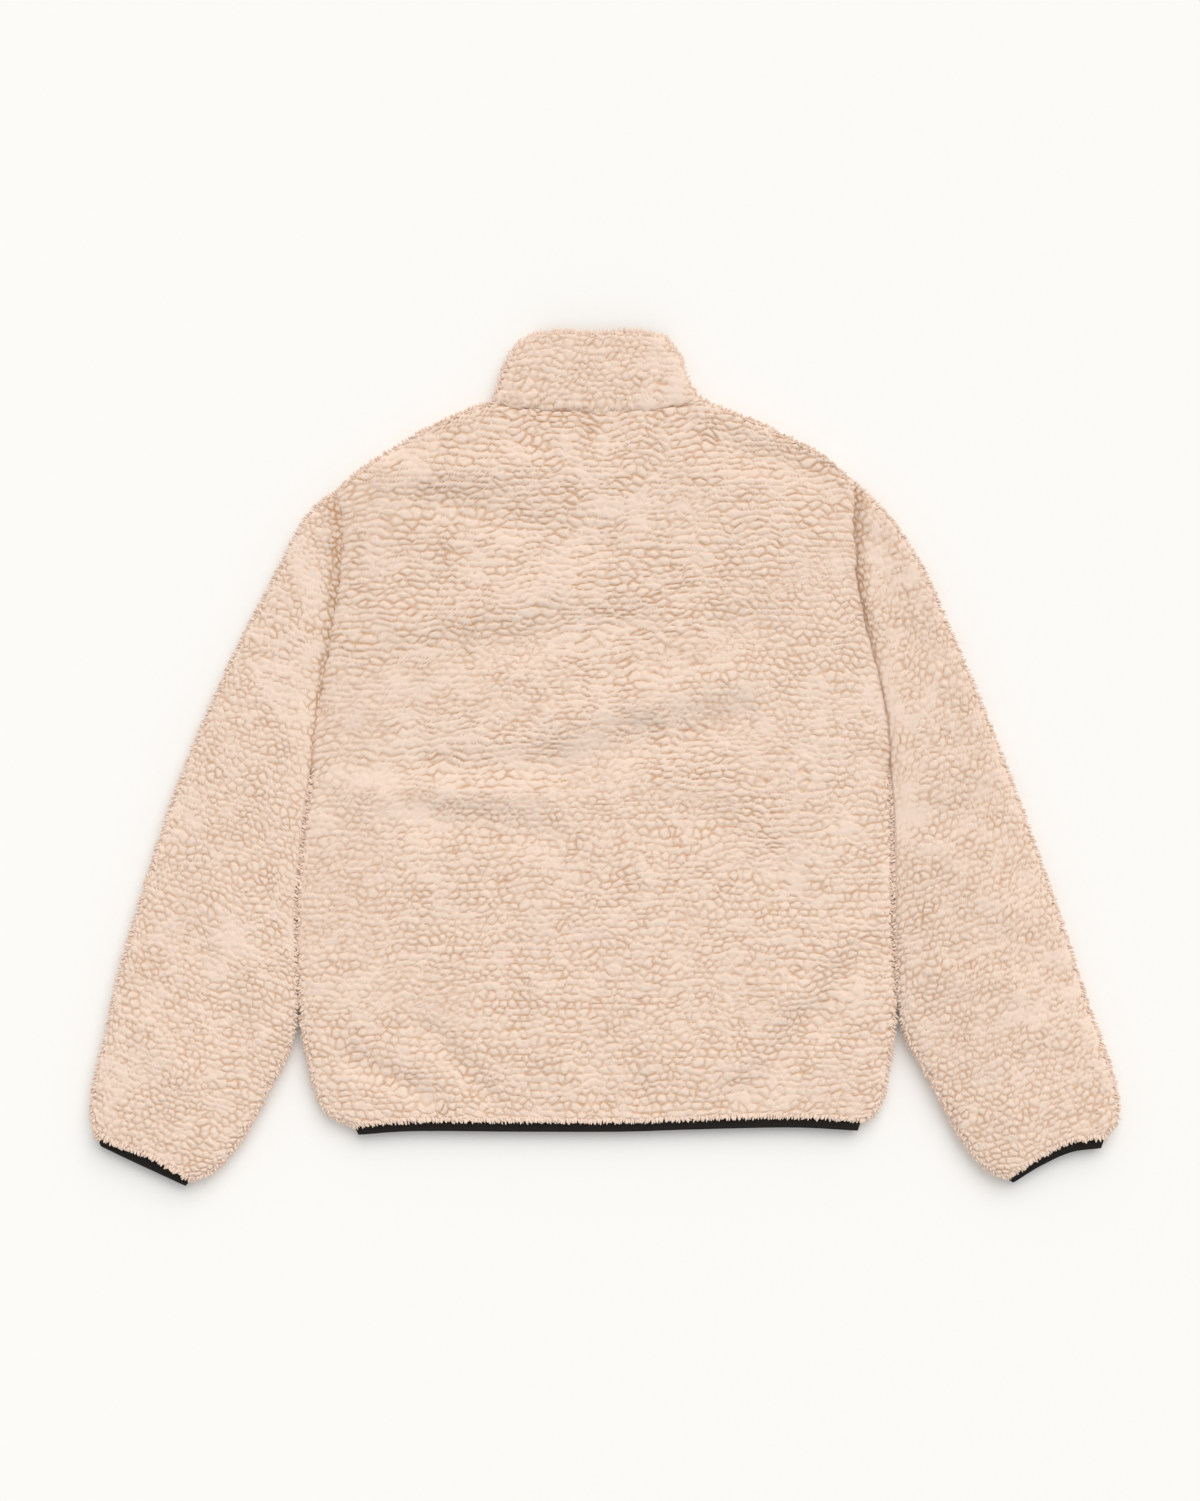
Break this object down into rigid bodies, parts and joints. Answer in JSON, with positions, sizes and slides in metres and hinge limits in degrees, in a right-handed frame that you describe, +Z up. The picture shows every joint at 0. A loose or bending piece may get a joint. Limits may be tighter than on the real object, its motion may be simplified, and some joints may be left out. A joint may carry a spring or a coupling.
{
  "type": "reversible fleece jacket laid flat",
  "caption": "Pile fleece jacket laid flat on its front, with long sleeves, stand collar, front zip and elastic bindings at hem and cuffs.",
  "frame": {"origin": "centre of the box round the whole jacket, on the surface that it lies on", "axes": "+X across the body towards the wearer's right sleeve, +Y from hem to collar, +Z up from the surface, out of the back of the jacket"},
  "size_m": [0.9751, 0.8133, 0.0269],
  "materials": {
    "pile_fleece": "curly high-pile fleece",
    "elastic_binding": "woven elastic tape, matte",
    "zip_tape": "woven tape, matte",
    "zip_teeth": "moulded",
    "zip_metal": "satin paint"
  },
  "bodies": {
    "jacket": {"back": "pile_fleece", "front_left": "pile_fleece", "front_right": "pile_fleece", "sleeve_left": "pile_fleece", "sleeve_right": "pile_fleece", "collar": "pile_fleece", "hem_binding": "elastic_binding", "cuff_binding_left": "elastic_binding", "cuff_binding_right": "elastic_binding", "zip_tape_left": "zip_tape", "zip_tape_right": "zip_tape", "zip_chain": "zip_teeth", "zip_box": "zip_teeth", "zip_slider": "zip_metal"},
    "pull": {"zip_pull": "zip_metal"}
  },
  "joints": [
    {"name": "pull_hinge", "type": "hinge", "parent": "jacket", "child": "pull", "pos_m": [-0.0024, 0.35, 0.0015], "axis": [1, 0, 0], "range_deg": [0, 170]}
  ]
}
